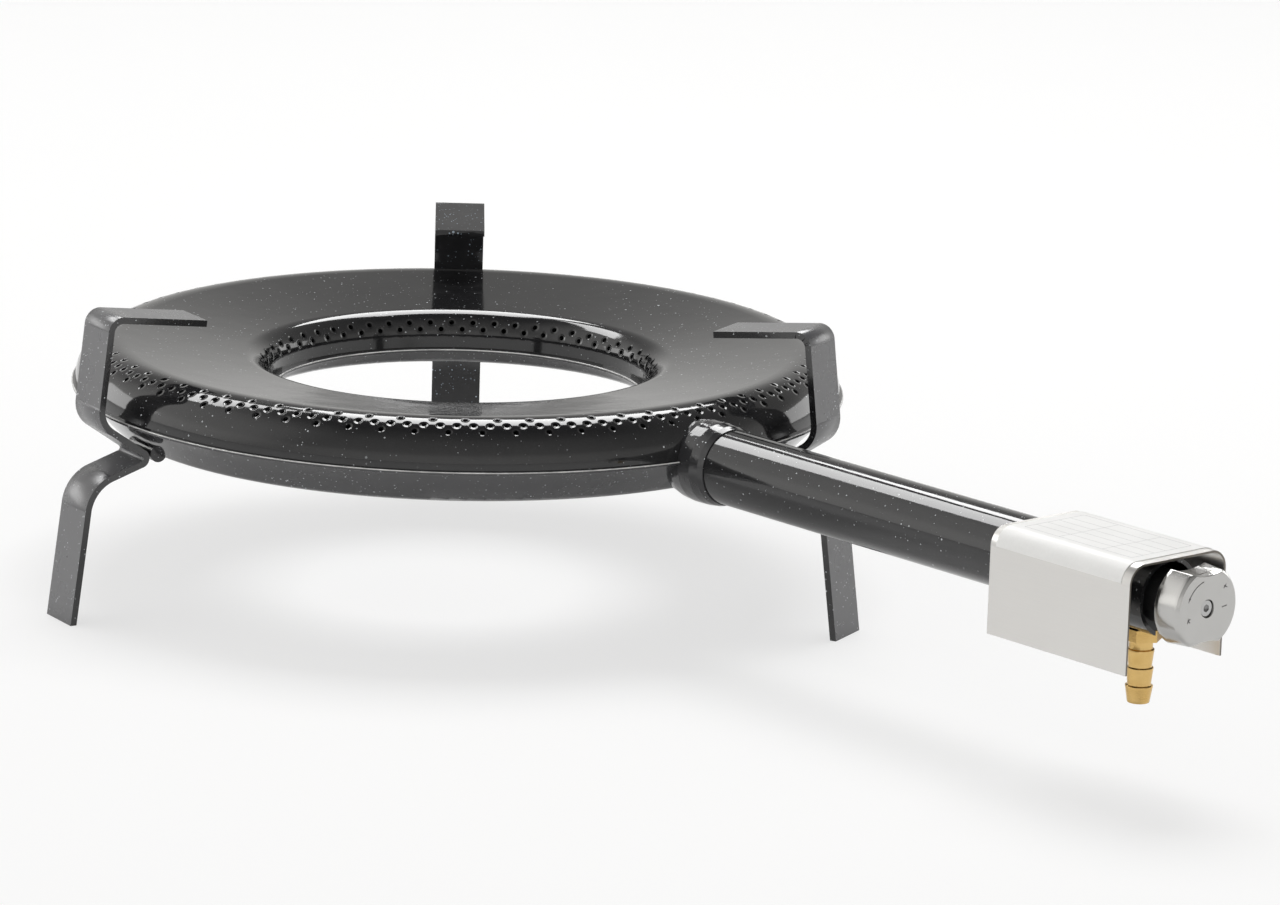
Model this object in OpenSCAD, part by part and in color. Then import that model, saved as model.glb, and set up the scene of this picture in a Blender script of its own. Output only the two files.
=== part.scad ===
// Paella burner: an enamelled gas ring on three bent bar supports, with its tap at the end of a mixer tube.
// Sizes are in millimetres. The mixer tube runs along +X, Z is up and the feet stand on z = 0.

/* [Burner ring] */
// Width of the ring over its seam flange
ring_d = 300; // [290:1:315]
// Width of the middle hole inside the seam flange
hole_d = 144; // [136:1:150]
// Height of the seam above the floor
seam_z = 76; // [74:1:80]
// Thickness of the pressed sheet
sheet_t = 1.2; // [1:0.1:1.4]
// Radius of the outer shoulder
outer_round = 16; // [14:0.5:17]
// Radius of the shoulder round the hole
inner_round = 10; // [9:0.5:12]
// Drop of the seam from the outer edge to the hole
seam_drop = 3.3; // [2.5:0.1:4]
// Depth of the lower dish at its outer edge
dish_out = 15; // [13:0.5:16]
// Depth of the lower dish at the hole
dish_in = 10.7; // [9:0.1:12]
// Radius of the lower dish's corners
dish_round = 6; // [4:0.5:6]

/* [Flame ports] */
// Width of a flame port
port_d = 2; // [1.8:0.1:2.4]
// Ports in the middle row of the outer shoulder
outer_ports = 144; // [72:12:144]
// Ports in each row of the inner shoulder
inner_ports = 56; // [30:2:60]

/* [Supports] */
// Width of the flat bar
bar_w = 20; // [16:1:24]
// Thickness of the flat bar
bar_t = 2.5; // [2:0.1:3]
// Height of a lug's outer end above the floor
rest_z = 117.5; // [110:0.5:124]
// Length of the lug that carries the pan
lug_l = 39.5; // [30:0.5:45]
// Angle between the tube and the nearest support
support_a = 21; // [16:1:30]
// Outward lean of the upright
upright_lean = 7; // [4:0.5:9]
// Outward lean of the leg
leg_lean = 7.8; // [5:0.1:10]

/* [Mixer tube] */
// Outside width of the tube
tube_d = 28; // [26:0.5:29]
// Wall of the tube
tube_wall = 1.5; // [1.2:0.1:1.8]
// Height of the tube's middle
tube_z = 74; // [73:0.5:75]
// Distance from the ring's axis to the open end of the tube
tube_reach = 386; // [340:1:420]

/* [Cover] */
// Length of the cover
shield_l = 68; // [60:1:76]
// Width of the cover
shield_w = 47; // [42:1:52]
// Height of the cover's sides below its top
shield_h = 38.5; // [34:0.5:42]
// Thickness of the cover's sheet
shield_t = 0.9; // [0.8:0.1:1.2]
// Bend radius of the cover's corners
shield_round = 7; // [5:0.5:8]

/* [Tap] */
// Width of the knob at its face
knob_d = 29; // [27:0.5:31]
// Depth of the knob
knob_h = 10.5; // [10:0.5:13]
// Inward travel of the knob
push = 3; // [2:0.5:3]
// Across flats of the hose tail's hexagon
tail_af = 13; // [12:0.5:14]
// Width of the hose tail over its barbs
barb_d = 9.6; // [9:0.1:10.5]

/* [Hidden] */
$fn = 96;
s45 = sqrt(0.5);
// Clearance of pieces that turn or slide in one another
run = 0.05;
// Clearance of fixed pieces that pass through a hole
slip = 0.05;
// Straight edges lie this far inside the rounds that they run into
inset = 0.03;

// Ring: radii and heights of the two pressings
ring_r = ring_d / 2;
hole_r = hole_d / 2;
ledge_out = 1.5;
ledge_in = 2.5;
skirt_or = ring_r - ledge_out;
skirt_ir = hole_r + ledge_in;
skirt_top = seam_z + 1;
out_c = skirt_or - outer_round;
in_c = skirt_ir + inner_round;
// Slope of the top, which is tangent to both shoulders
top_a = asin((outer_round - inner_round) / (out_c - in_c));
flange_z = seam_z - sheet_t;
seam_iz = seam_z - seam_drop;
flange_iz = seam_iz - sheet_t;
wall_o = skirt_or - 0.5 - flange_z;
wall_i = skirt_ir + 0.5 + flange_iz;
dish_oz = seam_z - dish_out;
dish_iz = seam_z - dish_in;
dish_oc = [dish_oz + dish_round + wall_o - dish_round / s45, dish_oz + dish_round];
dish_ic = [wall_i + dish_round / s45 - dish_iz - dish_round, dish_iz + dish_round];
dish_dir = (dish_oc - dish_ic) / norm(dish_oc - dish_ic);
dish_n = [dish_dir[1], -dish_dir[0]];

// Flame ports: tilt of each row on its shoulder
outer_rows = [14, 27, 39];
inner_rows = [54, 70];

// Supports: the bar's middle line from the pan lug to the foot
support_at = [support_a, support_a + 120, support_a + 240];
bar_gap = 0.3;
upright_r = ring_r + 5.5;
lug_zc = rest_z - bar_t / 2;
lean = tan(upright_lean);
low_z = seam_z + 0.5;
low_r = upright_r + lean * (lug_zc - low_z);
fold_r = ring_r - 12;
fold_z = dish_oz;
shin_r = ring_r + 13.9;
shin_z = fold_z - 8.4;
foot_rc = shin_r + shin_z * tan(leg_lean);
foot_r = foot_rc + bar_t / 2 / cos(leg_lean);
below = 8;
bar_path = [
    [upright_r - lug_l, lug_zc - lug_l * lean],
    [upright_r, lug_zc],
    [low_r, low_z],
    [fold_r, fold_z],
    [shin_r, shin_z],
    [foot_rc + below * tan(leg_lean), -below]
];
bar_bend = [0, 4.8, 10, 2.4, 15, 0];
lap = 0.2;

// Tube, cover and tap: places along the tube, from the ring's axis
tube_r = tube_d / 2;
bore_r = tube_r - tube_wall;
tube_in = ring_r - 10;
shield_front = tube_reach + 4;
shield_back = shield_front - shield_l;
shield_top = tube_z + tube_r + 0.05 + shield_t;
film_t = 0.25;
rivet_at = [shield_back + 10, shield_back + 28];
rivet_d = 4;
rivet_seat = sqrt(bore_r * bore_r - pow(rivet_d / 2 + 1.2, 2)) - 0.05;
tail_x = tube_reach - 12;
slot_x = tail_x - 2.5;
slot_w = tail_af - 2;
tail_top = tube_z - sqrt(tube_r * tube_r - slot_w * slot_w / 4);
washer_t = 1;
body_r = 9.5;
body_back = tail_x - 16;
body_front = tail_x + 13;
seat_back = tail_x - 13.5;
seat_front = tail_x + 4;
seat_rs = 4.3;
seat_rl = 5.75;
chamber_r = 6;
bonnet_t = 3.5;
bonnet_front = body_front + bonnet_t;
shaft_r = 3;
collar_r = 4.5;
collar_t = 2;
collar_x = body_front - 0.1 - collar_t;
hub_l = collar_x - push - 0.5 - seat_front;
tang_w = 5.2;
tang_t = 2;
port_x = tail_x - 1;
knob_back = bonnet_front + push + 0.5;
knob_front = knob_back + knob_h;
screw_at = 7.6;
screw_r = 1;
screw_head_r = 1.7;
spring_wire = 0.8;
spring_r = 4;
spring_turns = 3.5;

// The origin lies on the floor under the middle of the whole burner
foot_y = [for (a = support_at) for (t = [-1, 1]) foot_r * sin(a) + t * bar_w / 2 * cos(a)];
ring_x = (ring_r - knob_front) / 2;
ring_y = -(max(ring_r, max(foot_y)) + min(-ring_r, min(foot_y))) / 2;

module at_ring() {
    translate([ring_x, ring_y, 0]) children();
}

module at_tube() {
    translate([ring_x, ring_y, tube_z]) children();
}

// A round bar along the tube's axis
module rod(x0, x1, r) {
    translate([x0, 0, 0]) rotate([0, 90, 0]) cylinder(h = x1 - x0, r = r);
}

// A cone along the tube's axis
module taper(x0, x1, r0, r1) {
    translate([x0, 0, 0]) rotate([0, 90, 0]) cylinder(h = x1 - x0, r1 = r0, r2 = r1);
}

// A revolved profile about the tube's axis, drawn as radius and place
module turned() {
    rotate([0, 90, 0]) rotate_extrude() children();
}

// Filled outline of the upper pressing, drawn in by e
module crown(e) {
    ro = outer_round - e;
    ri = inner_round - e;
    n = [-sin(top_a), cos(top_a)];
    translate([out_c, skirt_top]) circle(r = ro);
    translate([in_c, skirt_top]) circle(r = ri);
    polygon([
        [in_c, seam_iz - 2], [out_c, seam_iz - 2],
        [out_c, skirt_top] + (ro - inset) * n, [in_c, skirt_top] + (ri - inset) * n
    ]);
    translate([skirt_ir + e + inset, seam_iz - 2]) square([inner_round, skirt_top - seam_iz + 2]);
}

module crown_block() {
    difference() {
        crown(0);
        translate([0, seam_iz - ring_r]) square([2 * ring_r, ring_r]);
        translate([(in_c + out_c) / 2, seam_z - ring_r]) square([ring_r, ring_r]);
    }
}

// Filled outline of the lower pressing, drawn in by e
module dish(e) {
    r = dish_round - e - inset;
    up = e > 0 ? dish_round : 0;
    top = seam_z + up;
    top_i = seam_iz + up;
    to = dish_oc + r * s45 * [1, -1];
    ti = dish_ic + r * s45 * [-1, -1];
    translate(dish_oc) circle(r = r + inset);
    translate(dish_ic) circle(r = r + inset);
    polygon([
        [ti[0] - top_i + ti[1], top_i], ti, dish_ic + r * dish_n,
        dish_oc + r * dish_n, to, [to[0] + top - to[1], top], [in_c, top], [in_c, top_i]
    ]);
}

module flanges() {
    translate([skirt_or - 2, flange_z]) square([ring_r - skirt_or + 2, sheet_t]);
    translate([hole_r, flange_iz]) square([skirt_ir - hole_r + 2, sheet_t]);
}

// The whole ring as one filled body, to trim what is welded to it
module ring_block() {
    rotate_extrude($fn = 180) crown_block();
    rotate_extrude($fn = 180) {
        dish(0);
        flanges();
    }
}

module port_row(centre, reach, tilt, count, offset) {
    for (i = [0 : count - 1]) {
        rotate([0, 0, (i + offset) * 360 / count])
            translate([centre, 0, skirt_top]) rotate([0, tilt, 0])
                translate([0, 0, reach - 2.4]) cylinder(h = 4.4, d = port_d, $fn = 16);
    }
}

module upper_shell() {
    color("dimgray") at_ring() difference() {
        rotate_extrude($fn = 180) difference() {
            crown_block();
            crown(sheet_t);
        }
        port_row(out_c, outer_round, outer_rows[0], outer_ports / 2, 0.37);
        port_row(out_c, outer_round, outer_rows[1], outer_ports, 0.24);
        port_row(out_c, outer_round, outer_rows[2], outer_ports / 2, 0.87);
        port_row(in_c, inner_round, -inner_rows[0], inner_ports, 0.25);
        port_row(in_c, inner_round, -inner_rows[1], inner_ports, 0.75);
        translate([0, 0, tube_z]) rod(tube_in - 1, ring_r + 5, tube_r + slip);
    }
}

module lower_shell() {
    color("gray") at_ring() difference() {
        rotate_extrude($fn = 180) difference() {
            union() {
                dish(0);
                flanges();
            }
            dish(sheet_t);
        }
        translate([0, 0, tube_z]) rod(tube_in - 1, ring_r + 5, tube_r + slip);
    }
}

module mixer_tube() {
    color("darkslategray") at_tube() difference() {
        rod(tube_in, tube_reach, tube_r);
        rod(tube_in - 1, tube_reach + 1, bore_r);
        translate([slot_x, 0, -tube_r - 1]) cylinder(h = tube_r, d = slot_w);
        translate([slot_x, -slot_w / 2, -tube_r - 1]) cube([tube_reach, slot_w, tube_r]);
        for (x = rivet_at) translate([x, 0, 0]) cylinder(h = tube_d, d = rivet_d + 2 * slip);
    }
}

// Weld saddle: thickest at the ring's edge, with a nose that closes the tube's end under the ring
module tube_collar() {
    color("black") difference() {
        at_tube() turned() polygon([
            [0, ring_r - 17.5], [9.5, ring_r - 17.5], [tube_r, ring_r - 12], [tube_r + 1.2, ring_r - 7],
            [tube_r + 1.7, ring_r - 2], [tube_r + 1.6, ring_r + 4], [tube_r + 1.1, ring_r + 8],
            [tube_r + 0.4, ring_r + 10.5], [0, ring_r + 10.5]
        ]);
        at_ring() ring_block();
        at_tube() rod(tube_in, tube_reach, tube_r);
    }
}

// Direction of run i of a path, and the length that its bend takes off each run
function way(p, i) = (p[i + 1] - p[i]) / norm(p[i + 1] - p[i]);
function side(p, i) = sign(cross(way(p, i - 1), way(p, i)));
function turn(p, i) = acos(way(p, i - 1) * way(p, i));
function trim(p, b, i) = i == 0 || i == len(p) - 1 ? 0 : b[i] * tan(turn(p, i) / 2);

// Middle of bend i, and the place where run i leaves its first bend or meets its second
function hub(p, b, i) =
    let (u = way(p, i - 1))
    p[i] - trim(p, b, i) * u + side(p, i) * b[i] * [-u[1], u[0]];
function leave(p, b, i) =
    i == 0 ? p[0] : p[i] + (trim(p, b, i) - lap) * way(p, i) + inset * side(p, i) * left(p, i);
function meet(p, b, i) =
    i == len(p) - 2 ? p[i + 1]
    : p[i + 1] - (trim(p, b, i + 1) - lap) * way(p, i) + inset * side(p, i + 1) * left(p, i);
function left(p, i) = [-way(p, i)[1], way(p, i)[0]];

module bar_run(a, b) {
    w = (b - a) / norm(b - a);
    n = [-w[1], w[0]] * bar_t / 2;
    polygon([a - n, b - n, b + n, a + n]);
}

module bar_corner(p, b, i) {
    c = hub(p, b, i);
    k = 3 * b[i] + 3 * bar_t;
    n1 = side(p, i) > 0 ? -left(p, i - 1) : left(p, i);
    n2 = side(p, i) > 0 ? -left(p, i) : left(p, i - 1);
    m = (n1 + n2) / norm(n1 + n2);
    intersection() {
        translate(c) circle(r = b[i] + bar_t / 2);
        polygon([c, c + k * n1, c + k * m, c + k * n2]);
    }
}

// Outline of the bent bar in the upright plane through the ring's axis
module bar_outline(p, b) {
    last = len(p) - 1;
    difference() {
        union() {
            for (i = [0 : last - 1]) bar_run(leave(p, b, i), meet(p, b, i));
            for (i = [1 : last - 1]) bar_corner(p, b, i);
        }
        for (i = [1 : last - 1]) translate(hub(p, b, i)) circle(r = b[i] - bar_t / 2);
    }
}

module bent_bar() {
    difference() {
        rotate([90, 0, 0]) linear_extrude(height = bar_w, center = true) bar_outline(bar_path, bar_bend);
        translate([0, -bar_w, -2 * below]) cube([2 * ring_r, 2 * bar_w, 2 * below]);
    }
}

module support_right() {
    color("slategray") at_ring() rotate([0, 0, support_at[0]]) bent_bar();
}

module support_rear() {
    color("slategray") at_ring() rotate([0, 0, support_at[1]]) bent_bar();
}

module support_left() {
    color("slategray") at_ring() rotate([0, 0, support_at[2]]) bent_bar();
}

// A bead in the corner between the fold of each bar and the dish
module support_welds() {
    color("black") at_ring() for (a = support_at) {
        difference() {
            rotate([0, 0, a]) translate([fold_r - 2.4, 0, fold_z + 2])
                rotate([90, 0, 0]) cylinder(h = bar_w - 1, r = 3.4, center = true);
            ring_block();
            rotate([0, 0, a]) bent_bar();
        }
    }
}

// End view of the cover, drawn out by e
module cover_end(e) {
    w = shield_w / 2 + e;
    r = shield_round + e;
    top = shield_top - tube_z + e;
    low = shield_top - tube_z - shield_h;
    for (m = [-1, 1]) translate([m * (w - r), top - r]) circle(r = r);
    translate([-w, low]) square([2 * w, shield_h + e - r]);
    translate([r - w, top - r]) square([2 * (w - r), r]);
}

module heat_shield() {
    color("gainsboro") at_tube() difference() {
        translate([shield_back, 0, 0]) rotate([90, 0, 90]) linear_extrude(height = shield_l) difference() {
            cover_end(0);
            cover_end(-shield_t);
            translate([-shield_w, shield_top - tube_z - shield_h - 1]) square([2 * shield_w, 1]);
            translate([shield_t - shield_w / 2, shield_top - tube_z - shield_h - 1])
                square([shield_w - 2 * shield_t, shield_h / 2]);
        }
        for (x = rivet_at) translate([x, 0, 0]) cylinder(h = 2 * tube_d, d = rivet_d + 2 * slip);
    }
}

module label_film() {
    color("white") at_tube() translate([shield_back + 3, 0, 0]) rotate([90, 0, 90])
        linear_extrude(height = shield_l - 7) intersection() {
            difference() {
                cover_end(film_t);
                cover_end(0);
            }
            translate([-shield_w, shield_top - tube_z - shield_round + 0.5]) square([2 * shield_w, 20]);
        }
}

// Flush under the film, with a set head inside the tube
module shield_rivets() {
    color("silver") at_tube() for (x = rivet_at) translate([x, 0, 0]) {
        translate([0, 0, bore_r - 1.3]) cylinder(h = shield_top - tube_z - bore_r + 1.3, d = rivet_d);
        translate([0, 0, rivet_seat - 1.5]) cylinder(h = 1.5, d = rivet_d + 2.4);
    }
}

module valve_body() {
    color("goldenrod") at_tube() difference() {
        union() {
            rod(body_back, body_front, body_r);
            rod(body_back - 6, body_back + 1, 4);
            intersection() {
                rod(tail_x - 8, tail_x + 8, bore_r - 0.02);
                translate([tail_x - 8, -8, -bore_r]) cube([16, 16, bore_r - 6]);
            }
            translate([tail_x, 0, tail_top + washer_t - tube_z]) cylinder(h = 8, d = slot_w - 0.2);
        }
        translate([tail_x, 0, tail_top - tube_z - 5]) cylinder(h = 5 + washer_t, d = slot_w + 0.2);
        taper(seat_back, seat_front, seat_rs + run, seat_rl + run);
        rod(seat_front, body_front + 1, chamber_r);
        rod(body_back - 7, seat_back + 0.1, 2);
        translate([tail_x, 0, tail_top - tube_z]) cylinder(h = 6, r = 4 + slip);
        translate([tail_x, 0, tail_top - tube_z]) cylinder(h = tube_z - tail_top, r = 2.6);
        for (m = [-1, 1]) translate([0, m * screw_at, 0]) rod(body_front - 8, body_front + 1, screw_r + slip);
    }
}

// Taper plug: a hollow nose, one wide port, one fine port for the low flame and a slotted hub
module plug_cone() {
    color("peru") at_tube() difference() {
        union() {
            taper(seat_back + 0.3, seat_front - 0.1, seat_rs + 0.02, seat_rl - 0.01);
            rod(seat_front - 0.2, seat_front + hub_l, 3);
        }
        rod(seat_back, port_x + 1.5, 1.5);
        translate([port_x, 0, 0]) rotate([90, 0, 0]) cylinder(h = 10, r = 1.5);
        translate([port_x, 0, 0]) cylinder(h = 10, r = 0.6);
        translate([seat_front - 2, -5, -tang_t / 2 - run]) cube([20, 10, tang_t + 2 * run]);
    }
}

module spindle() {
    color("darkkhaki") at_tube() difference() {
        union() {
            translate([seat_front + 1.3, -tang_w / 2, -tang_t / 2])
                cube([collar_x - seat_front - 1, tang_w, tang_t]);
            rod(collar_x, collar_x + collar_t, collar_r);
            rod(collar_x, knob_front - 3.5, shaft_r);
        }
        translate([knob_back, -5, 2]) cube([20, 10, 5]);
        rod(knob_front - 11, knob_front, 1.5 + slip);
    }
}

// One unbroken round wire, swept as rings of six points
spring_x0 = seat_front - 0.1 + spring_wire / 2 + 0.03;
spring_x1 = collar_x - spring_wire / 2 - 0.03;
spring_steps = spring_turns * 8;
spring_pitch = (spring_x1 - spring_x0) / spring_turns;
function coil(i, j) =
    let (a = i * 45, b = j * 60 + 30, r = spring_r + spring_wire / 2 * cos(b))
    [spring_x0 + spring_pitch * i / 8 + spring_wire / 2 * sin(b), r * cos(a), r * sin(a)];
echo(spring_gap = spring_pitch - spring_wire);

module return_spring() {
    n = spring_steps;
    pts = [for (i = [0 : n]) for (j = [0 : 5]) coil(i, j)];
    walls = [
        for (i = [0 : n - 1]) for (j = [0 : 5]) for (h = [0, 1])
            let (a = 6 * i + j, b = 6 * i + (j + 1) % 6)
            h == 0 ? [a, a + 6, b] : [b, a + 6, b + 6]
    ];
    start = [for (j = [1 : 4]) [0, j, j + 1]];
    end = [for (j = [1 : 4]) [6 * n, 6 * n + j + 1, 6 * n + j]];
    color("silver") at_tube() polyhedron(points = pts, faces = concat(start, walls, end));
}

module bonnet() {
    color("tan") at_tube() difference() {
        rod(body_front, bonnet_front, body_r);
        rod(body_front - 1, bonnet_front + 1, shaft_r + run);
        rod(body_front - 1, body_front + 1.8, 4.6);
        for (m = [-1, 1]) translate([0, m * screw_at, 0]) {
            rod(body_front - 1, bonnet_front + 1, screw_r + slip);
            rod(bonnet_front - 1.3, bonnet_front + 1, screw_head_r + slip);
        }
    }
}

module bonnet_screws() {
    color("lightgray") at_tube() for (m = [-1, 1]) translate([0, m * screw_at, 0]) difference() {
        union() {
            rod(body_front - 7, bonnet_front - 1, screw_r);
            rod(bonnet_front - 1.3, bonnet_front - 0.1, screw_head_r);
        }
        translate([bonnet_front - 0.7, -3, -0.25]) cube([2, 6, 0.5]);
    }
}

module spindle_seal() {
    color("black") at_tube() turned() translate([3.84, body_front + 0.9]) circle(r = 0.72, $fn = 24);
}

module injector() {
    color("gold") at_tube() difference() {
        union() {
            rod_hex(body_back - 7, body_back - 1, 10);
            taper(body_back - 11, body_back - 7, 2.2, 4.2);
        }
        rod(body_back - 6.05, body_back, 4 + slip);
        rod(body_back - 12, body_back - 5, 0.5);
    }
}

// A hexagon bar along the tube's axis, by its width across flats
module rod_hex(x0, x1, af) {
    translate([x0, 0, 0]) rotate([0, 90, 0]) cylinder(h = x1 - x0, d = af / cos(30), $fn = 6);
}

// Brass tail: screwed stub, hexagon, straight land and three barbs, drilled through
module hose_tail() {
    r = barb_d / 2;
    z0 = tail_top;
    color("gold") at_ring() translate([tail_x, 0, 0]) difference() {
        union() {
            translate([0, 0, z0 - 4.4]) cylinder(h = 4.4, d = tail_af / cos(30), $fn = 6);
            rotate_extrude() polygon([
                [0, z0 + 5.8], [4, z0 + 5.8], [4, z0 - 2], [r - 0.6, z0 - 2], [r - 0.6, z0 - 7.7],
                [r, z0 - 7.9], [r - 0.7, z0 - 14.2], [r, z0 - 14.4], [r - 0.7, z0 - 20.7],
                [r + 0.1, z0 - 20.9], [r - 0.9, z0 - 27], [0, z0 - 27]
            ]);
        }
        translate([0, 0, z0 - 30]) cylinder(h = 40, r = 2.6);
    }
}

module tail_washer() {
    color("firebrick") at_ring() translate([tail_x, 0, tail_top]) difference() {
        cylinder(h = washer_t, d = slot_w - 0.3);
        translate([0, 0, -1]) cylinder(h = 4, r = 4 + slip);
    }
}

// Cast knob: tapered rim, bevelled face, hollow back with a hub, and two finger scallops
module control_knob() {
    f = knob_d / 2;
    color("silver") at_tube() difference() {
        turned() polygon([
            [0, knob_back], [5, knob_back], [5, knob_back + 6], [f - 2, knob_back + 6], [f - 1.4, knob_back],
            [f + 0.8, knob_back], [f, knob_front - 0.9], [f - 0.9, knob_front], [0, knob_front]
        ]);
        difference() {
            rod(knob_back - 1, knob_front - 3.4, shaft_r + slip);
            translate([knob_back - 2, -5, 2 + slip]) cube([20, 10, 5]);
        }
        rod(knob_back, knob_front + 1, 1.5 + slip);
        rod(knob_front - 2.2, knob_front + 1, 3.2);
        for (m = [-1, 1]) translate([0, 0, m * (f + 21)]) rod(knob_back - 1, knob_front + 1, 24);
    }
}

module knob_screw() {
    color("whitesmoke") at_tube() difference() {
        union() {
            rod(knob_front - 10, knob_front - 2, 1.5);
            rod(knob_front - 2.2, knob_front - 0.7, 2.75);
        }
        rod_hex(knob_front - 1.9, knob_front + 1, 2.5);
    }
}

upper_shell();
lower_shell();
mixer_tube();
tube_collar();
support_right();
support_rear();
support_left();
support_welds();
heat_shield();
label_film();
shield_rivets();
valve_body();
plug_cone();
spindle();
return_spring();
bonnet();
bonnet_screws();
spindle_seal();
injector();
hose_tail();
tail_washer();
control_knob();
knob_screw();
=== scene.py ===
import math

import bmesh
import bpy
from mathutils import Matrix, Vector


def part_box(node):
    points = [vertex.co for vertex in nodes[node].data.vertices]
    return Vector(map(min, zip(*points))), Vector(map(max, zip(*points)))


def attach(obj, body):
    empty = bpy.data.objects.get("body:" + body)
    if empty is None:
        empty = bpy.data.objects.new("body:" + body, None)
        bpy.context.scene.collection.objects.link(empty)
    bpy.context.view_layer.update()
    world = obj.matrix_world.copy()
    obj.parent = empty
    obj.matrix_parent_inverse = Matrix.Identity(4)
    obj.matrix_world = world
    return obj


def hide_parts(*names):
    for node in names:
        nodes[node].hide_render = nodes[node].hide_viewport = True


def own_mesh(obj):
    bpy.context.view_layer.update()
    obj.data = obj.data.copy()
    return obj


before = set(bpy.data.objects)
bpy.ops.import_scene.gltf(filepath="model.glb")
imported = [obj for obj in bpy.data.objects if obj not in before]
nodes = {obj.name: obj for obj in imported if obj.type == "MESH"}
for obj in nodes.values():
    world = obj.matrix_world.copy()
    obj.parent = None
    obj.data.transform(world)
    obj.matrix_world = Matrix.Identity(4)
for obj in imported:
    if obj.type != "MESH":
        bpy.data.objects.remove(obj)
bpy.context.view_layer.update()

# Places in the row frame, in metres: the ring's rims and axis, the tap's height, the knob's ends
lo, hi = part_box("lower_shell")
RIM_OUT = (hi.y - lo.y) / 2
RIM_IN = 0.072
RING = Vector((lo.x + RIM_OUT, (lo.y + hi.y) / 2, 0))
TUBE_Z = 0.074
KNOB_BACK, KNOB_FRONT = (corner.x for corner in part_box("control_knob"))

# Azimuths of the two front supports about the ring's axis, in degrees
RIGHT_BAR, LEFT_BAR = 21, 261

# Rows of flame ports: count, offset as a share of the pitch, radius and height in millimetres
PORT_ROWS = ((72, 0.37, 136.37, 92.52), (144, 0.24, 139.76, 91.26), (72, 0.87, 142.57, 89.43),
             (56, 0.25, 76.41, 82.88), (56, 0.75, 75.10, 80.42))
PORT_LIP = (0.0009, 0.0019)  # the lip's inner and outer radius, in metres

# Colours within the finishes
# Painted shade on a bar's thin edges
EDGE_SHADE_COAT = (0.008, 0.008, 0.009)
# Painted highlight on the seam flange's rims
RIM_HIGHLIGHT_COAT = (0.82, 0.82, 0.81)
# Painted shade on a sheet's end faces
END_SHADE = (0.2, 0.185, 0.165)
INK = (0.2, 0.2, 0.2)


# Shader nodes
def new_material(name, metallic=0.0):
    m = bpy.data.materials.new(name)
    m.use_nodes = True
    b = m.node_tree.nodes["Principled BSDF"]
    b.inputs["Metallic"].default_value = metallic
    return m, m.node_tree, b


def add(nt, kind, **sockets):
    n = nt.nodes.new(kind)
    for key, value in sockets.items():
        n.inputs[key].default_value = value
    return n


def calc(nt, operation, a, b=None, c=None, clamp=False):
    n = nt.nodes.new("ShaderNodeMath")
    n.operation = operation
    n.use_clamp = clamp
    for i, v in enumerate((a, b, c)):
        if v is None:
            continue
        if isinstance(v, (int, float)):
            n.inputs[i].default_value = v
        else:
            nt.links.new(v, n.inputs[i])
    return n.outputs[0]


def remap(nt, value, source, target, smooth=False):
    n = nt.nodes.new("ShaderNodeMapRange")
    if smooth:
        n.interpolation_type = "SMOOTHSTEP"
    nt.links.new(value, n.inputs["Value"])
    for key, v in zip(("From Min", "From Max", "To Min", "To Max"), (*source, *target)):
        n.inputs[key].default_value = v
    return n.outputs[0]


def mix(nt, factor, a, b, blend="MIX"):
    n = nt.nodes.new("ShaderNodeMix")
    n.data_type = "RGBA"
    n.blend_type = blend
    nt.links.new(factor, n.inputs["Factor"])
    for key, v in (("A", a), ("B", b)):
        s = [i for i in n.inputs if i.name == key and i.type == "RGBA"][0]
        if isinstance(v, tuple):
            s.default_value = (*v, 1)
        else:
            nt.links.new(v, s)
    return [o for o in n.outputs if o.type == "RGBA"][0]


def split(nt, vector):
    n = nt.nodes.new("ShaderNodeSeparateXYZ")
    nt.links.new(vector, n.inputs[0])
    return tuple(n.outputs)


def dot(nt, vector, fixed):
    n = nt.nodes.new("ShaderNodeVectorMath")
    n.operation = "DOT_PRODUCT"
    nt.links.new(vector, n.inputs[0])
    n.inputs[1].default_value = fixed
    return n.outputs["Value"]


def facing(nt, kind="True Normal"):
    return nt.nodes.new("ShaderNodeNewGeometry").outputs[kind]


def place(nt, scale=(1, 1, 1)):
    tc = nt.nodes.new("ShaderNodeTexCoord")
    mp = add(nt, "ShaderNodeMapping", Scale=scale)
    nt.links.new(tc.outputs["Object"], mp.inputs["Vector"])
    return mp.outputs[0]


def noise(nt, vector, scale, detail=3.0, rough=0.55):
    n = add(nt, "ShaderNodeTexNoise", Scale=scale, Detail=detail, Roughness=rough)
    nt.links.new(vector, n.inputs["Vector"])
    return n.outputs["Fac"]


def bump(nt, bsdf, height, distance, strength=1.0, below=None):
    n = add(nt, "ShaderNodeBump", Strength=strength, Distance=distance)
    nt.links.new(height, n.inputs["Height"])
    if below is not None:
        nt.links.new(below, n.inputs["Normal"])
    nt.links.new(n.outputs[0], bsdf.inputs["Normal"])
    return n.outputs[0]


def coat(nt, bsdf, color, rough):
    nt.links.new(color, bsdf.inputs["Base Color"])
    nt.links.new(rough, bsdf.inputs["Roughness"])


def shade(color, factor):
    return tuple(c * factor for c in color)


def from_axis(nt, vector):
    # A point's x and y from the ring's axis, its z, and its distance from that axis
    x, y, z = split(nt, vector)
    x = calc(nt, "SUBTRACT", x, RING.x)
    y = calc(nt, "SUBTRACT", y, RING.y)
    square = calc(nt, "ADD", calc(nt, "MULTIPLY", x, x), calc(nt, "MULTIPLY", y, y))
    return x, y, z, calc(nt, "SQRT", square)


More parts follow.
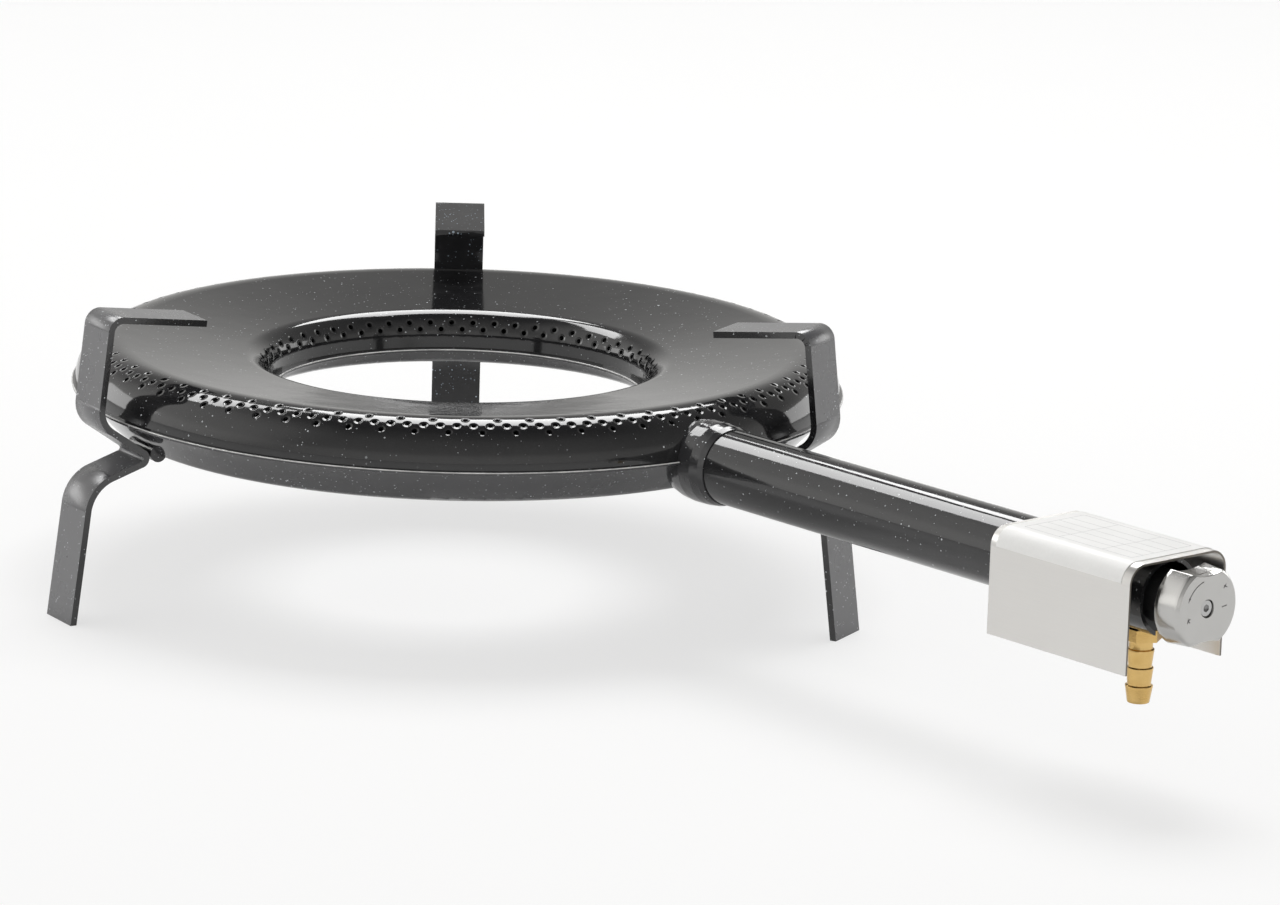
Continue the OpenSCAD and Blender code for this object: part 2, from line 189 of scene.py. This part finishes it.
# Enamel
def specks(nt, vector, scale, share, small, large):
    # Round specks in a share of the cells, each with a size and a brightness of its own
    v = add(nt, "ShaderNodeTexVoronoi", Scale=scale, Randomness=1.0)
    nt.links.new(vector, v.inputs["Vector"])
    rgb = nt.nodes.new("ShaderNodeSeparateColor")
    nt.links.new(v.outputs["Color"], rgb.inputs[0])
    red, green, blue = rgb.outputs
    kept = calc(nt, "GREATER_THAN", red, 1 - share)
    size = remap(nt, calc(nt, "POWER", green, 3.0), (0, 1), (small, large))
    soft = remap(nt, calc(nt, "SUBTRACT", size, v.outputs["Distance"]), (0, 0.04), (0, 1))
    bright = remap(nt, blue, (0, 1), (0.3, 1))
    return calc(nt, "MULTIPLY", calc(nt, "MULTIPLY", soft, kept), bright)


def port_lips(nt, vector):
    # The height of the coat, which rolls over into each flame port
    x, y, z, radius = from_axis(nt, vector)
    turn = calc(nt, "DIVIDE", calc(nt, "ARCTAN2", y, x), 2 * math.pi)
    near = None
    for count, offset, r, height in PORT_ROWS:
        step = calc(nt, "MULTIPLY_ADD", turn, count, 0.5 - offset)
        step = calc(nt, "FRACT", calc(nt, "ADD", step, count))
        pitch = 2 * math.pi * r / 1000 / count
        arc = calc(nt, "MULTIPLY", calc(nt, "SUBTRACT", step, 0.5), pitch)
        dr = calc(nt, "SUBTRACT", radius, r / 1000)
        dz = calc(nt, "SUBTRACT", z, height / 1000)
        square = calc(nt, "MULTIPLY_ADD", dr, dr, calc(nt, "MULTIPLY", dz, dz))
        d = calc(nt, "SQRT", calc(nt, "MULTIPLY_ADD", arc, arc, square))
        near = d if near is None else calc(nt, "MINIMUM", near, d)
    return remap(nt, near, PORT_LIP, (0, 1), smooth=True)


def flange_rim_highlight(nt, vector, start=0.0003, full=0.0006):
    # Painted highlight: the upper round of the seam flange's outer and inner rims is painted
    # pale, in patches
    radius = from_axis(nt, vector)[3]
    outer = remap(nt, radius, (RIM_OUT - full, RIM_OUT - start), (0, 1))
    inner = remap(nt, radius, (RIM_IN + start, RIM_IN + full), (1, 0))
    upper = remap(nt, split(nt, facing(nt, "Normal"))[2], (0.05, 0.3), (0, 1))
    patchy = remap(nt, noise(nt, vector, scale=120), (0.3, 0.6), (0.45, 1))
    rim = calc(nt, "MULTIPLY", calc(nt, "MAXIMUM", outer, inner), upper)
    return calc(nt, "MULTIPLY", rim, patchy, clamp=True)


def thin_edges(nt, azimuth):
    # A bar's two thin edges face across the bar's own radial plane
    a = math.radians(azimuth)
    across = dot(nt, facing(nt), (-math.sin(a), math.cos(a), 0))
    return remap(nt, calc(nt, "ABSOLUTE", across), (0.6, 0.85), (0, 1))


def enamel(name, density, ground=(0.022, 0.034), tint=(0.66, 0.69, 0.72), worn=0.0,
           specular=0.5, lips=False, rims=False, rough_weld=False, bar_at=None):
    m, nt, b = new_material(name)
    at = place(nt)
    low, high = ground
    color = mix(nt, noise(nt, at, scale=140, detail=4),
                (low, low, low * 1.1), (high, high, high * 1.05))
    rough = remap(nt, noise(nt, at, scale=55), (0.3, 0.7),
                  (0.05 + 0.2 * worn, 0.11 + 0.25 * worn))
    if bar_at is not None:
        # Painted shade: a bar's thin edges, picked by the way they face, are painted dark and
        # made glossier
        shaded_edge = thin_edges(nt, bar_at)
        color = mix(nt, shaded_edge, color, EDGE_SHADE_COAT)
        rough = calc(nt, "MULTIPLY", rough, remap(nt, shaded_edge, (0, 1), (1, 0.4)))
    fine = specks(nt, at, scale=780, share=0.32 * density, small=0.08, large=0.3)
    big = specks(nt, at, scale=330, share=0.09 * density, small=0.07, large=0.2)
    cloud = remap(nt, noise(nt, at, scale=30, detail=2), (0.35, 0.6), (0.25, 1.1))
    dots = calc(nt, "MULTIPLY", calc(nt, "MAXIMUM", fine, big), cloud, clamp=True)
    color = mix(nt, dots, color, tint)
    if rims:
        # Painted highlight on the seam flange's rims
        color = mix(nt, flange_rim_highlight(nt, at), color, RIM_HIGHLIGHT_COAT)
    coat(nt, b, color, rough)
    b.inputs["IOR"].default_value = 1.58
    b.inputs["Specular IOR Level"].default_value = specular
    ripple = noise(nt, at, scale=70, detail=2, rough=0.4)
    wave = bump(nt, b, ripple, distance=0.0002, strength=0.3)
    peel = noise(nt, at, scale=700, detail=2)
    wave = bump(nt, b, peel, distance=0.00002, strength=0.35, below=wave)
    if lips:
        wave = bump(nt, b, port_lips(nt, at), distance=0.00028, below=wave)
    if rough_weld:
        bump(nt, b, noise(nt, at, scale=320), distance=0.0003, strength=0.45, below=wave)
    return m


# Metals, paints and film
def brushed(name, color, rough, grain, shaded_ends=False):
    m, nt, b = new_material(name, metallic=1.0)
    lines = noise(nt, place(nt, grain), scale=1.0, detail=4, rough=0.7)
    patch = noise(nt, place(nt), scale=35)
    streaks = calc(nt, "MULTIPLY_ADD", lines, 0.7, calc(nt, "MULTIPLY", patch, 0.3))
    base = mix(nt, streaks, shade(color, 0.9), color)
    if shaded_ends:
        # Painted shade: the sheared edges at the two ends, picked by facing along x, are painted
        # duller and darker than the rolled faces
        along = calc(nt, "ABSOLUTE", split(nt, facing(nt))[0])
        base = mix(nt, remap(nt, along, (0.5, 0.8), (0, 1)), base, END_SHADE)
    worn = calc(nt, "ADD", lines, patch)
    coat(nt, b, base, remap(nt, worn, (0.6, 1.4), (rough - 0.05, rough + 0.07)))
    bump(nt, b, lines, distance=0.00002, strength=0.5)
    return m


def cast(name, color, rough):
    m, nt, b = new_material(name, metallic=1.0)
    at = place(nt)
    grain = noise(nt, at, scale=900, detail=4, rough=0.6)
    blot = noise(nt, at, scale=120)
    base = mix(nt, remap(nt, blot, (0.3, 0.7), (0, 1)), shade(color, 0.95), color)
    worn = calc(nt, "ADD", grain, blot)
    coat(nt, b, base, remap(nt, worn, (0.7, 1.3), (rough - 0.03, rough + 0.04)))
    bump(nt, b, grain, distance=0.000015, strength=0.3)
    return m


def turned(name, color, tarnished, rough, pitch):
    # Lathe rings along Z, with a little tarnish
    m, nt, b = new_material(name, metallic=1.0)
    rings = noise(nt, place(nt, (60, 60, pitch)), scale=1.0, detail=2)
    tarnish = noise(nt, place(nt), scale=160, detail=4)
    base = mix(nt, remap(nt, tarnish, (0.35, 0.75), (0, 0.7)), color, tarnished)
    worn = calc(nt, "ADD", rings, tarnish)
    coat(nt, b, base, remap(nt, worn, (0.7, 1.3), (rough - 0.05, rough + 0.08)))
    bump(nt, b, rings, distance=0.00002, strength=0.5)
    return m


def matt(name, color, rough, scale, depth):
    m, nt, b = new_material(name)
    at = place(nt)
    fine = noise(nt, at, scale, detail=4)
    broad = noise(nt, at, scale / 12)
    mottle = remap(nt, calc(nt, "ADD", fine, broad), (0.6, 1.4), (0, 1))
    base = mix(nt, mottle, shade(color, 0.93), color)
    coat(nt, b, base, remap(nt, broad, (0.3, 0.7), (rough - 0.05, rough + 0.06)))
    bump(nt, b, fine, depth, strength=0.3)
    return m


def ruled(m, half_x=0.026, half_y=0.0145, half_line=0.00014, cover=0.6):
    # An empty form on the cover's film: a frame with rules across and along it
    nt = m.node_tree
    base = nt.nodes["Principled BSDF"].inputs["Base Color"]
    near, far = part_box("label_film")
    x, y, _ = split(nt, place(nt))
    u = calc(nt, "SUBTRACT", x, (near.x + far.x) / 2)
    v = calc(nt, "SUBTRACT", y, (near.y + far.y) / 2)
    within_u = calc(nt, "LESS_THAN", calc(nt, "ABSOLUTE", u), half_x)
    within_v = calc(nt, "LESS_THAN", calc(nt, "ABSOLUTE", v), half_y)
    rules = [(v, k * half_y, within_u) for k in (-1, -0.62, -0.24, 0.14, 0.52, 1)]
    rules += [(u, k * half_x, within_v) for k in (-1, -0.35, 0.45, 1)]
    ink = None
    for across, at, inside in rules:
        off = calc(nt, "ABSOLUTE", calc(nt, "SUBTRACT", across, at))
        line = calc(nt, "MULTIPLY", calc(nt, "LESS_THAN", off, half_line), inside)
        ink = line if ink is None else calc(nt, "MAXIMUM", ink, line)
    paper = base.links[0].from_socket
    nt.links.new(mix(nt, calc(nt, "MULTIPLY", ink, cover), paper, INK), base)
    return m


# Painted light: the front bars' copy of the enamel has a lighter ground than the rear support's
LIT_BAR_ENAMEL = {"density": 2.6, "ground": (0.064, 0.09), "worn": 0.9, "specular": 0.8}
STAINLESS = brushed("stainless_sheet", (0.72, 0.708, 0.686), 0.34, (60, 60, 2200), shaded_ends=True)
CAST = cast("cast_alloy", (0.54, 0.535, 0.523), 0.18)
BRASS = turned("turned_brass", (0.71, 0.485, 0.19), (0.5822, 0.3686, 0.1178), 0.2, 4200)
STEEL = brushed("drawn_steel", (0.66, 0.66, 0.67), 0.28, (900, 900, 900))
# Painted shade: the valve body, bonnet and bonnet screws, which sit in shade under the cover, are
# made flat black
SHADE_BLACK = matt("shade_black", (0.016, 0.016, 0.017), 0.45, 700, 0.00002)
MARK = matt("dark_marking", (0.16, 0.16, 0.155), 0.5, 1200, 0.00001)

finish = {
    enamel("speckled_enamel", 1.2, (0.012, 0.02)): ("mixer_tube",),
    # Painted light: the dish's copy of the enamel has a lighter ground than the other parts'
    enamel("speckled_enamel_dish", 2.4, (0.038, 0.052), rims=True): ("lower_shell",),
    enamel("speckled_enamel_ports", 1.2, (0.01, 0.017), lips=True): ("upper_shell",),
    enamel("speckled_enamel_right", **LIT_BAR_ENAMEL, bar_at=RIGHT_BAR): ("support_right",),
    enamel("speckled_enamel_left", **LIT_BAR_ENAMEL, bar_at=LEFT_BAR): ("support_left",),
    enamel("speckled_enamel_rear", 3.0, (0.02, 0.03), (0.5, 0.6, 0.7), 0.1): ("support_rear",),
    enamel("speckled_enamel_weld", 1.4, rough_weld=True): ("tube_collar", "support_welds"),
    STAINLESS: ("heat_shield", "shield_rivets"),
    ruled(matt("white_film", (0.86, 0.86, 0.85), 0.42, 900, 0.00001)): ("label_film",),
    CAST: ("control_knob",),
    BRASS: ("hose_tail", "plug_cone", "spindle", "injector"),
    # Painted shade: flat black on the tap's body, bonnet and screws
    SHADE_BLACK: ("valve_body", "bonnet", "bonnet_screws"),
    STEEL: ("return_spring",),
    cast("bright_screw", (0.5, 0.5, 0.5), 0.16): ("knob_screw",),
    matt("black_rubber", (0.03, 0.027, 0.026), 0.6, 900, 0.00003): ("spindle_seal",),
    matt("red_fibre", (0.2, 0.05, 0.035), 0.65, 700, 0.00004): ("tail_washer",),
}
for material, names in finish.items():
    for name in names:
        nodes[name].data.materials.clear()
        nodes[name].data.materials.append(material)


# Rounded edges as enamel, rolled sheet and machining leave them
def soften(name, width, segments=2, angle=35, join=2e-6):
    weld = nodes[name].modifiers.new("weld", "WELD")
    weld.merge_threshold = join
    edges = nodes[name].modifiers.new("edges", "BEVEL")
    edges.width = width
    edges.segments = segments
    edges.limit_method = "ANGLE"
    edges.angle_limit = math.radians(angle)
    edges.use_clamp_overlap = True
    edges.harden_normals = True


for name in ("support_right", "support_rear", "support_left"):
    soften(name, 0.0005)
soften("heat_shield", 0.0002)
soften("control_knob", 0.0004)
soften("hose_tail", 0.00015)
soften("lower_shell", 0.00058, segments=4)


# Pieces of the tap, in millimetres
def at_tap(start, x, y, z):
    # A point from the tap's axis, with its x counted from a place along that axis in metres
    return start + x / 1000, RING.y + y / 1000, TUBE_Z + z / 1000


def around(radius, degrees):
    return radius * math.cos(math.radians(degrees)), radius * math.sin(math.radians(degrees))


def solid(name, verts, faces):
    mesh = bpy.data.meshes.new(name)
    mesh.from_pydata(verts, [], faces)
    bm = bmesh.new()
    bm.from_mesh(mesh)
    bmesh.ops.recalc_face_normals(bm, faces=bm.faces)
    bm.to_mesh(mesh)
    bm.free()
    return mesh


def piece(mesh, material, body):
    mesh.materials.append(material)
    o = bpy.data.objects.new(mesh.name, mesh)
    bpy.context.scene.collection.objects.link(o)
    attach(o, body)
    return o


def face_mark(name, outlines, proud=0.02, sunk=0.15):
    # A thin inlay just proud of the knob's face, drawn as outlines in the face's own plane
    verts, faces = [], []
    for outline in outlines:
        count, start = len(outline), len(verts)
        for x in (proud, -sunk):
            verts += [at_tap(KNOB_FRONT, x, y, z) for y, z in outline]
        front = range(start, start + count)
        back = range(start + count, start + 2 * count)
        faces += [tuple(front), tuple(back)]
        faces += [(front[i - 1], back[i - 1], back[i], front[i]) for i in range(count)]
    piece(solid(name, verts, faces), MARK, "knob")


def band(r0, r1, a0, a1, steps=24):
    turns = [a0 + (a1 - a0) * i / steps for i in range(steps + 1)]
    return [[around(r0, a) for a in turns] + [around(r1, a) for a in reversed(turns)]]


def bar(y, z, length, width, turn):
    c, s = around(1, turn)
    u, v = length / 2, width / 2
    corners = ((-u, -v), (u, -v), (u, v), (-u, v))
    return [[(y + c * p - s * q, z + s * p + c * q) for p, q in corners]]


def head(radius, at, size, turn):
    y, z = around(radius, at)
    tips = (around(size * k, turn + t) for t, k in ((0, 1.0), (140, 0.8), (220, 0.8)))
    return [[(y + p, z + q) for p, q in tips]]


def knob_webs(half=5.7, wall=1.4, depth=6.3, centre=35.5, radius=24.03, steps=16):
    # Cast webs that close the knob's two finger scallops towards its hollow back
    reach = math.asin(half / radius)
    corners = ((radius, 0), (radius, depth), (radius + wall, depth), (radius + wall, 0))
    verts, faces = [], []
    for side in (1, -1):
        start = len(verts)
        end = start + 4 * steps
        for i in range(steps + 1):
            a = reach * (2 * i / steps - 1)
            verts += [at_tap(KNOB_BACK, x, r * math.sin(a), side * (centre - r * math.cos(a)))
                      for r, x in corners]
        for c in range(start, end, 4):
            ring = range(c, c + 4)
            faces += [(ring[k - 1], ring[k], ring[k] + 4, ring[k - 1] + 4) for k in range(4)]
        faces += [tuple(range(start, start + 4)), tuple(range(end, end + 4))]
    mesh = solid("knob_webs", verts, faces)
    mesh.shade_smooth()
    mesh.set_sharp_from_angle(angle=math.radians(30))
    piece(mesh, CAST, "knob")


def spring(wire=0.4, coil=4, turns=3.5, sides=14, per_turn=32):
    # The return spring in round wire: the knob's push shortens it towards its seat on the plug
    near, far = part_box("return_spring")
    length = far.x - near.x
    last = round(turns * per_turn)
    rise = (length * 1000 - 2 * wire) / last
    verts, faces = [], []
    for i in range(last + 1):
        for j in range(sides):
            out, along = around(wire, 360 * j / sides)
            y, z = around(coil + out, 360 * i / per_turn)
            verts.append(at_tap(near.x, wire + rise * i + along, y, z))
            if i < last:
                c, d = i * sides + j, i * sides + (j + 1) % sides
                faces.append((c, c + sides, d + sides, d))
    faces += [tuple(range(sides)), tuple(range(last * sides, (last + 1) * sides))]
    mesh = solid("spring_wire", verts, faces)
    for face in mesh.polygons:
        face.use_smooth = len(face.vertices) == 4
    o = piece(mesh, STEEL, "plug")
    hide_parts("return_spring")
    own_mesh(o)


face_mark("turn_arrow", band(9.9, 10.35, 104, 152) + head(10.1, 155, 1.1, 248))
face_mark("mark_full", bar(8.0, 6.9, 1.9, 0.4, 50) + bar(8.3, 6.7, 1.7, 0.4, -25))
face_mark("mark_closed", bar(8.2, -0.2, 2.4, 0.45, 6))
face_mark("mark_low", bar(-9.4, -3.0, 1.8, 0.4, 80) + bar(-8.8, -2.7, 1.2, 0.4, 35)
          + bar(-8.8, -3.4, 1.2, 0.4, -40))
knob_webs()
spring()

# The photograph's view: the ring's own frame, in millimetres, turned to the row frame.
# Azimuth 90 is straight behind the ring as the photograph shows it, and 180 is to its left.
TURN = Matrix.Rotation(math.radians(51.05), 3, "Z")
VIEW_TARGET = Vector((71.6, 0, 49.1))
LAMP_TARGET = Vector((60, 0, 60))
VIEW_WIDTH = 1280


def there(point):
    return RING + TURN @ (point / 1000)


def direction(azimuth, elevation):
    a, e = math.radians(azimuth), math.radians(elevation)
    return Vector((math.cos(a) * math.cos(e), math.sin(a) * math.cos(e), math.sin(e)))


def camera(turn=-0.03844, rise=0.23509, roll=0.03, distance=2345.6, focal_pixels=6000):
    # Angles in radians, as fitted to the photograph
    back = Vector((math.sin(turn) * math.cos(rise), -math.cos(turn) * math.cos(rise),
                   math.sin(rise)))
    level = (-back).cross(Vector((0, 0, 1))).normalized()
    upright = level.cross(-back)
    right = math.cos(roll) * level + math.sin(roll) * upright
    up = -math.sin(roll) * level + math.cos(roll) * upright
    cam = bpy.data.cameras.new("camera")
    cam.sensor_fit = "HORIZONTAL"
    cam.sensor_width = 36
    cam.lens = focal_pixels / VIEW_WIDTH * cam.sensor_width
    cam.clip_end = 100
    o = bpy.data.objects.new("camera", cam)
    bpy.context.scene.collection.objects.link(o)
    axes = Matrix((TURN @ right, TURN @ up, TURN @ back)).transposed()
    o.matrix_world = Matrix.Translation(there(VIEW_TARGET + back * distance)) @ axes.to_4x4()
    bpy.context.scene.camera = o


def softbox(name, azimuth, elevation, distance, size, radiance, gloss=True, fill=True):
    # Distance and size in metres; gloss: seen in reflections; fill: lights matt surfaces
    d = direction(azimuth, elevation)
    light = bpy.data.lights.new(name, "AREA")
    light.shape = "RECTANGLE"
    light.size, light.size_y = size
    light.energy = radiance * math.pi * size[0] * size[1]
    o = bpy.data.objects.new(name, light)
    bpy.context.scene.collection.objects.link(o)
    o.location = there(LAMP_TARGET + d * distance * 1000)
    o.rotation_euler = (TURN @ d).to_track_quat("Z", "Y").to_euler()
    o.visible_glossy = gloss
    o.visible_diffuse = fill


camera()
softbox("key", 80, 70, 2.4, (1.55, 1.55), 5.2, gloss=False)
softbox("back_box", 86, 52.5, 3.0, (1.3, 1.65), 8.0, fill=False)
softbox("left_box", 127, 46, 3.0, (1.25, 0.7), 6.5, fill=False)
softbox("left_panel", 154, 9, 2.6, (1.4, 0.8), 1.8, fill=False)
softbox("right_panel", 32, 9, 2.6, (1.4, 0.8), 1.8, fill=False)

# A pale room, bright near the horizon and dimmer overhead: levels by height, from 0 to 1
HORIZON, ZENITH = (0.74, 0.734, 0.718), (0.05, 0.05, 0.05)
LEVELS = ((0.25, 0.66), (0.42, 0.38), (0.8, 0.2), (0.93, 0.08))
LEVEL_TINT, GLOW_TINT = (1, 0.99, 0.968), (1, 0.99, 0.97)
# Soft brightenings of the room: azimuth, elevation, cosine at which each starts, strength
GLOWS = ((172, 26, 0.66, 0.8), (264, 34, 0.4, 0.22))


def room():
    world = bpy.data.worlds.new("room")
    bpy.context.scene.world = world
    world.use_nodes = True
    nt = world.node_tree
    ray = nt.nodes.new("ShaderNodeTexCoord").outputs["Generated"]
    ramp = nt.nodes.new("ShaderNodeValToRGB")
    nt.links.new(split(nt, ray)[2], ramp.inputs[0])
    stops = ramp.color_ramp.elements
    stops[0].color = (*HORIZON, 1)
    stops[1].color = (*ZENITH, 1)
    for at, level in LEVELS:
        stops.new(at).color = (*shade(LEVEL_TINT, level), 1)
    color = ramp.outputs[0]
    for azimuth, elevation, start, strength in GLOWS:
        toward = dot(nt, ray, TURN @ direction(azimuth, elevation))
        fade = remap(nt, toward, (start, 1), (0, 1), smooth=True)
        color = mix(nt, fade, color, shade(GLOW_TINT, strength), blend="ADD")
    seen = nt.nodes.new("ShaderNodeLightPath").outputs["Is Camera Ray"]
    background = nt.nodes["Background"]
    nt.links.new(mix(nt, seen, color, (1, 1, 1)), background.inputs["Color"])
    background.inputs["Strength"].default_value = 1.0


def floor(half=8, seen_white=0.65, mirrored_white=0.3):
    # A pale floor that keeps the shadow, with a share of plain white where it is seen or mirrored
    mesh = bpy.data.meshes.new("floor")
    corners = [(-half, -half, 0), (half, -half, 0), (half, half, 0), (-half, half, 0)]
    mesh.from_pydata(corners, [], [(0, 1, 2, 3)])
    o = bpy.data.objects.new("floor", mesh)
    bpy.context.scene.collection.objects.link(o)
    m, nt, b = new_material("pale_floor")
    paper = noise(nt, place(nt), scale=6)
    nt.links.new(mix(nt, paper, (0.95, 0.95, 0.95), (0.97, 0.97, 0.97)), b.inputs["Base Color"])
    b.inputs["Roughness"].default_value = 0.9
    b.inputs["Specular IOR Level"].default_value = 0.1
    glow = add(nt, "ShaderNodeEmission", Color=(1, 1, 1, 1), Strength=1.0)
    path = nt.nodes.new("ShaderNodeLightPath")
    share = calc(nt, "MULTIPLY", path.outputs["Is Camera Ray"], seen_white)
    share = calc(nt, "MULTIPLY_ADD", path.outputs["Is Glossy Ray"], mirrored_white, share)
    blend = nt.nodes.new("ShaderNodeMixShader")
    for i, output in enumerate((share, b.outputs[0], glow.outputs[0])):
        nt.links.new(output, blend.inputs[i])
    nt.links.new(blend.outputs[0], nt.nodes["Material Output"].inputs["Surface"])
    mesh.materials.append(m)


room()
floor()
bpy.context.scene.view_settings.view_transform = "Standard"
